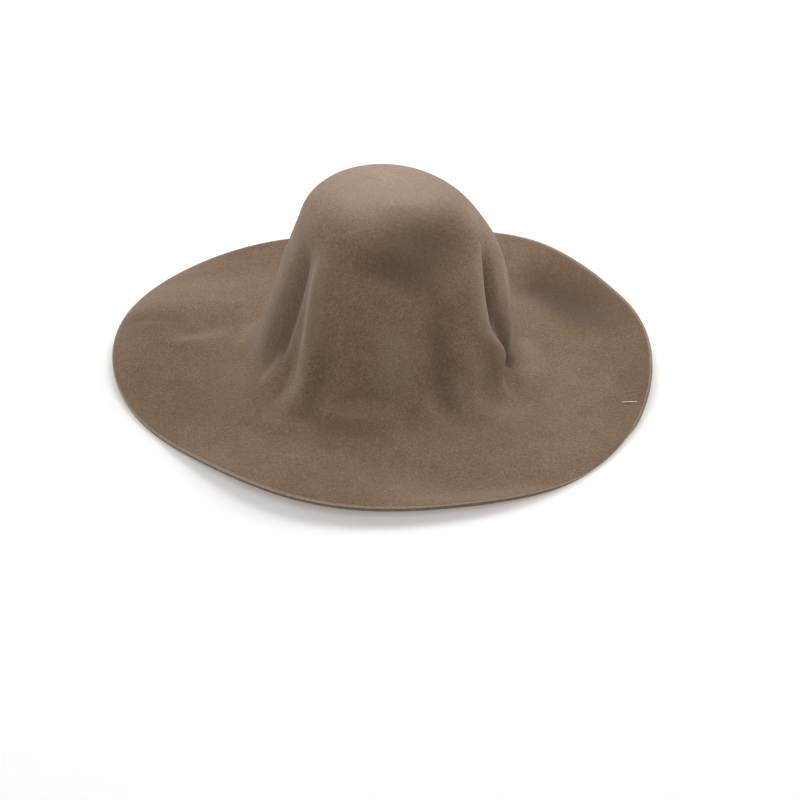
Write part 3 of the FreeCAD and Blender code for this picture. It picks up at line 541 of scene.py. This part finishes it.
# stray paler and darker fibres that lie in the mat
pale = m.math("MULTIPLY", m.ramp(hair_a, 0.60, 0.68, 0.0, 0.42), m.ramp(mottle, 0.35, 0.6))
dark = m.math("MULTIPLY", m.ramp(hair_b, 0.60, 0.70, 0.0, 0.45), m.ramp(cloud, 0.3, 0.55))
base = colour_mix(m, pale, base, (0.42, 0.335, 0.265))
base = colour_mix(m, dark, base, (0.085, 0.055, 0.038))
# painted highlight on the fold crests and painted shade in the fold valleys, following the fold height
relief_f = m.attribute("fold_relief")
base = colour_mix(m, m.ramp(relief_f, 0.3, 4.5, 0.0, 0.26, True), base, (0.36, 0.275, 0.21))
# painted shade: a dark tint deepening into the fold valleys
base = colour_mix(m, m.ramp(relief_f, -0.2, -9.0, 0.0, 0.60), base, (0.085, 0.056, 0.038))
# painted highlight: the top of the dome is painted paler, standing in for the sheen of light on it
height = m.add("ShaderNodeSeparateXYZ")
m.link(m.coords(), height.inputs["Vector"])
base = colour_mix(m, m.ramp(height.outputs["Z"], 0.154, 0.180, 0.0, 0.46, True), base, (0.48, 0.385, 0.32))
# painted light and shade: paler patches painted as light and darker patches painted as shade, with soft, broken
# edges
painted_light_tone = m.math("MULTIPLY", m.attribute("painted_light_tone"), m.ramp(cloud, 0.3, 0.7, 0.8, 1.2))
# painted light: a pale tint where the tone is positive
base = colour_mix(m, m.ramp(painted_light_tone, 0.0, 1.0, 0.0, 0.62), base, (0.42, 0.325, 0.25))
# painted shade: a dark tint where the tone is negative
base = colour_mix(m, m.ramp(painted_light_tone, 0.0, -1.0, 0.0, 0.85), base, (0.085, 0.057, 0.039))
# the grain of the felt runs over every tone
grain_of_nap = m.math("ADD", m.ramp(speck, 0.32, 0.68, 0.40, 0.60), m.ramp(grit, 0.34, 0.66, 0.41, 0.59))
base = colour_mix(m, 1.0, base, grain_of_nap, "MULTIPLY")
# the cut: a denser, darker face with a pale line of lifted fibres on its arris
side = m.attribute("felt_side")
rim = m.attribute("rim_distance")
cut = m.math("MULTIPLY", m.ramp(side, 0.04, 0.16, 0.0, 1.0), m.ramp(side, 0.84, 0.96, 1.0, 0.0))
layers = m.noise(1500.0, 2.0, 0.6, 0.8, m.stretch(0.12, 0.12, 1.0))
cut_tint = colour_mix(m, m.ramp(layers, 0.35, 0.65), (0.105, 0.070, 0.048), (0.21, 0.15, 0.108))
base = colour_mix(m, m.math("MULTIPLY", cut, 0.75), base, cut_tint)
arris = m.math("MULTIPLY", m.ramp(rim, 0.0, 2.2, 1.0, 0.0, True), m.ramp(side, 0.12, 0.3, 1.0, 0.0))
arris = m.math("MULTIPLY", arris, m.ramp(speck, 0.38, 0.6, 0.35, 0.95))
base = colour_mix(m, m.math("MULTIPLY", arris, 0.7), base, (0.56, 0.46, 0.37))
m.link(base, m.bsdf.inputs["Base Color"])
rough = m.ramp(mottle, 0.3, 0.7, 0.88, 0.97)
m.link(rough, m.bsdf.inputs["Roughness"])
m.bsdf.inputs["Specular IOR Level"].default_value = 0.18
m.bsdf.inputs["Sheen Weight"].default_value = 0.42
m.bsdf.inputs["Sheen Roughness"].default_value = 0.38
m.bsdf.inputs["Sheen Tint"].default_value = (0.92, 0.80, 0.70, 1.0)
low = m.bump(mottle, 0.55, 0.0011)
mid = m.bump(speck, 0.65, 0.00055, low)
fine = m.bump(m.math("ADD", hair_a, hair_b), 0.45, 0.0003, mid)
m.link(fine, m.bsdf.inputs["Normal"])
felt.data.materials.append(m.mat)

# ------------------------------------------------------------ staple material
m = Nodes("staple_zinc_wire")
drawn = m.noise(2600.0, 2.0, 0.6, 0.0, m.stretch(0.06, 1.0, 1.0))
spangle = m.voronoi(900.0)
grey = colour_mix(m, m.ramp(drawn, 0.35, 0.65), (0.62, 0.60, 0.56), (0.84, 0.83, 0.80))
grey = colour_mix(m, m.ramp(spangle, 0.0, 0.6, 0.0, 0.25), grey, (0.50, 0.48, 0.45))
m.link(grey, m.bsdf.inputs["Base Color"])
m.bsdf.inputs["Metallic"].default_value = 0.9
m.link(m.ramp(drawn, 0.3, 0.7, 0.28, 0.46), m.bsdf.inputs["Roughness"])
m.link(m.bump(drawn, 0.3, 0.00004), m.bsdf.inputs["Normal"])
staple_mat = m.mat

# ------------------------------------------------------------ ticket material
m = Nodes("ticket_paper")
pulp = m.noise(420.0, 4.0, 0.6)
fibre = m.noise(1600.0, 2.0, 0.6, 1.5, m.stretch(1.0, 0.3, 1.0))
sheet_tone = colour_mix(m, m.ramp(pulp, 0.3, 0.7), (0.80, 0.755, 0.66), (0.88, 0.85, 0.77))
sheet_tone = colour_mix(m, m.ramp(fibre, 0.58, 0.70, 0.0, 0.35), sheet_tone, (0.66, 0.58, 0.46))
m.link(sheet_tone, m.bsdf.inputs["Base Color"])
m.link(m.ramp(pulp, 0.3, 0.7, 0.72, 0.86), m.bsdf.inputs["Roughness"])
m.link(m.bump(m.math("ADD", pulp, fibre), 0.35, 0.00012), m.bsdf.inputs["Normal"])
ticket_mat = m.mat

for name, mat in (("staple", staple_mat), ("ticket", ticket_mat)):
    node = bpy.data.objects[name]
    if not node.material_slots:
        node.data.materials.append(mat)
    for s in node.material_slots:
        s.material = mat

# ------------------------------------------------------------ floor, light, camera
AMBIENT, GLOW = 0.146, 0.200
floor_mesh = bpy.data.meshes.new("floor_disc")
disc, span = [], 14.0
for i in range(96):
    a = 2 * math.pi * i / 96
    disc.append((span * math.cos(a), span * math.sin(a), -0.0004))
floor_mesh.from_pydata(disc, [], [list(range(96))])
floor = bpy.data.objects.new("floor", floor_mesh)
bpy.context.collection.objects.link(floor)
floor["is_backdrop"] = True
m = Nodes("floor_paper")
grain = m.noise(60.0, 3.0, 0.5)
m.link(colour_mix(m, grain, (0.93, 0.93, 0.93), (0.95, 0.95, 0.95)), m.bsdf.inputs["Base Color"])
m.bsdf.inputs["Roughness"].default_value = 0.9
m.bsdf.inputs["Specular IOR Level"].default_value = 0.1
m.bsdf.inputs["Emission Color"].default_value = (1.0, 1.0, 1.0, 1.0)
m.bsdf.inputs["Emission Strength"].default_value = GLOW
floor.data.materials.append(m.mat)

world = bpy.data.worlds.new("studio")
bpy.context.scene.world = world
world.use_nodes = True
world.node_tree.nodes["Background"].inputs["Color"].default_value = (1.0, 1.0, 1.0, 1.0)
world.node_tree.nodes["Background"].inputs["Strength"].default_value = AMBIENT


def area(name, where, aim, size, size_y, power, tint=(1.0, 0.985, 0.965)):
    light = bpy.data.lights.new(name, "AREA")
    light.shape = "RECTANGLE"
    light.size, light.size_y = size, size_y
    light.energy = power
    light.color = tint
    lamp = bpy.data.objects.new(name, light)
    bpy.context.collection.objects.link(lamp)
    lamp.location = where
    lamp.rotation_euler = (Vector(aim) - Vector(where)).to_track_quat("-Z", "Y").to_euler()
    return lamp


area("overhead_softbox", (0, 0.55, 1.9), (0, 0, 0.08), 1.7, 1.1, 10.860)
area("left_softbox", (-1.9, 0.25, 1), (0, 0, 0.06), 1.1, 0.9, 7.470)
area("right_softbox", (1.9, 0.45, 1), (0, 0, 0.06), 1.1, 0.9, 14.330)
area("back_softbox", (0, 1.7, 0.95), (0, 0, 0.14), 1.6, 0.7, 9.000)
area("front_softbox", (0, -1.8, 1.6), (0, 0, 0.06), 1.4, 1, 17.290)
area("tip_softbox", (0, 0.1, 0.47), (0, 0.02, 0.15), 0.3, 0.24, 0.500)

camera = bpy.data.cameras.new("camera")
camera.sensor_width = 36.0
camera.lens = 115.236
camera.clip_start, camera.clip_end = 0.05, 60.0
eye = bpy.data.objects.new("camera", camera)
bpy.context.collection.objects.link(eye)
tilt = math.radians(33.7653)
target = Vector((0.01556, -0.06127, 0.00780))
eye.location = target + Vector((0.0, -math.cos(tilt), math.sin(tilt))) * 2.100
eye.rotation_euler = (math.pi / 2 - tilt, 0.0, 0.0)
bpy.context.scene.camera = eye
bpy.context.scene.view_settings.view_transform = "Standard"

low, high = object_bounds()
